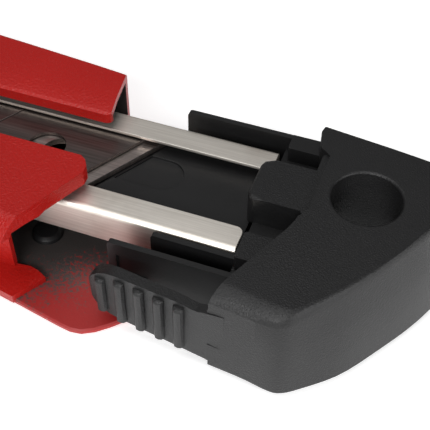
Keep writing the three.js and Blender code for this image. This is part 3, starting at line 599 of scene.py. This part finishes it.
arm = copied("release_arm", "release_arm_tongue")
rear = min(vertex.co.x for vertex in arm.data.vertices)
moved(arm, lambda vertex: vertex.co.x < rear + 0.1 * MM, -2.6, 0.13, 0)
bevelled(arm, on_rib_top, 0.5, 4)
rounded(arm, 0.42, 3, 30)
smoothed(arm, 40)
arm.data.materials.append(grained_black.material)
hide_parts("release_arm")
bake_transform(arm)
print(arm.name, "has", len(arm.data.polygons), "faces")

# %% [markdown]
# The smaller pieces that show are rounded in the same way. Sheet and rivets have tight
# edges, mouldings have softer ones, and the thumb pad and the studs have the softest.

# %% The smaller pieces
SMALL = [   # part, piece, width of its rounding in millimetres, segments, finish
    ("magazine_channel", "channel_sheet", 0.12, 2, plated),
    ("blade_bed", "blade_bed_moulding", 0.15, 2, smooth_black),
    ("thumb_pad", "thumb_pad_moulding", 0.3, 3, grained_black),
    ("slider_carrier", "slider_carrier_moulding", 0.2, 2, smooth_black),
    ("nose_guide", "nose_guide_sheet", 0.12, 2, plated),
    ("floor_stud_rear", "floor_stud_rear_dome", 0.25, 3, smooth_black),
    ("floor_stud_front", "floor_stud_front_dome", 0.25, 3, smooth_black),
    ("nose_rivet_near", "nose_rivet_near_head", 0.15, 2, rivet_metal),
    ("nose_rivet_far", "nose_rivet_far_head", 0.15, 2, rivet_metal),
]
for node, name, width, segments, finish in SMALL:
    finished(rounded(copied(node, name), width, segments, 28), node, [finish])

# %% [markdown]
# The remaining parts are thin, small or mostly hidden and have the right shape already, so
# they keep their meshes and only change their finish.

# %% Finishes for the parts that stay
STAY = {
    "magazine_guide": smooth_black,
    "bed_rivet": rivet_metal,
    "spring_rivet": rivet_metal,
    "detent_rivet_rear": rivet_metal,
    "detent_rivet_front": rivet_metal,
    "detent_strip": spring_metal,
    "detent_spring": spring_metal,
    "leaf_spring": spring_metal,
    **blade_finishes,
}
for node, finish in STAY.items():
    data = frame["nodes"][node].data
    data.materials.clear()
    data.materials.append(finish.material)
print(len(STAY), "parts keep their meshes")

# %% [markdown]
# The knife lies on a white floor. The floor glows a little by itself, so that it stays
# white under lights that are dim enough for the black plastic to stay black.

# %% Floor
bpy.ops.object.select_all(action="DESELECT")
bpy.ops.mesh.primitive_plane_add(size=8, location=(0, 0, -0.2 * MM))
floor = bpy.context.active_object
floor.name = "pale_floor"
floor_finish = Finish("pale_floor_finish")
floor_finish.shade(
    Base_Color=floor_finish.mix(floor_finish.noise(3.0), (0.93, 0.93, 0.93, 1), (0.95, 0.95, 0.95, 1)),
    Roughness=0.9, Emission_Color=(1, 1, 1, 1), Emission_Strength=0.35)
floor.data.materials.append(floor_finish.material)
print(floor.name, "is", floor.dimensions.x, "m wide")

# %% [markdown]
# Most light comes from the near side and from behind the cap, and falls on its side and
# its butt. One lamp above lights the upward faces, which mirror only the dim sky and a
# faint strip on the far side, and so stay the darkest. All are large, for soft shadows.

# %% Lights and sky
CAP_MIDDLE = place(-5, 5, 0)
LIGHTS = [   # name, where it stands from the cap, width and height, watts
    ("near_softbox", (0.05, 0.6, 0.42), (0.5, 0.3), 3.9),
    ("butt_softbox", (-0.6, 0.2, 0.25), (0.4, 0.3), 2.2),
    ("overhead_softbox", (0.15, 0.05, 0.8), (0.6, 0.6), 3.0),
    ("far_strip", (0.2, -0.6, 0.6), (0.8, 0.1), 0.08),
]
for name, away, size, watts in LIGHTS:
    data = bpy.data.lights.new(name, "AREA")
    data.shape = "RECTANGLE"
    data.size, data.size_y = size
    data.energy = watts
    light = bpy.data.objects.new(name, data)
    bpy.context.scene.collection.objects.link(light)
    light.location = CAP_MIDDLE + Vector(away)
    light.rotation_euler = (-Vector(away)).to_track_quat("-Z", "Y").to_euler()

sky = bpy.data.worlds.new("pale_sky")
bpy.context.scene.world = sky
sky.use_nodes = True
background = sky.node_tree.nodes["Background"]
background.inputs["Color"].default_value = (1, 1, 1, 1)
background.inputs["Strength"].default_value = 0.16
bpy.context.scene.view_settings.view_transform = "Standard"
print(len(LIGHTS), "lights")

# %% [markdown]
# The camera looks down on the near side of the open rear end, from behind the cap. Its
# direction is given by two lines: the way it looks and the way its right side points.

# %% Camera
RIGHT = Vector((-0.93925, -0.34305, 0.01083))
FORWARD = Vector((0.22447, -0.63784, -0.73674))
lens = bpy.data.cameras.new("camera")
lens.sensor_width = 36.0
lens.lens = 75.181395
lens.clip_start = 5 * MM
camera = bpy.data.objects.new("camera", lens)
bpy.context.scene.collection.objects.link(camera)
back = -FORWARD.normalized()
up = back.cross(RIGHT).normalized()
turn = Matrix((up.cross(back), up, back)).transposed().to_4x4()
turn.translation = place(-22.367, 84.813, 92.005)
camera.matrix_world = turn
bpy.context.scene.camera = camera
print("camera at", [round(v, 4) for v in camera.location])

# %% [markdown]

# %% The end
bpy.context.view_layer.update()
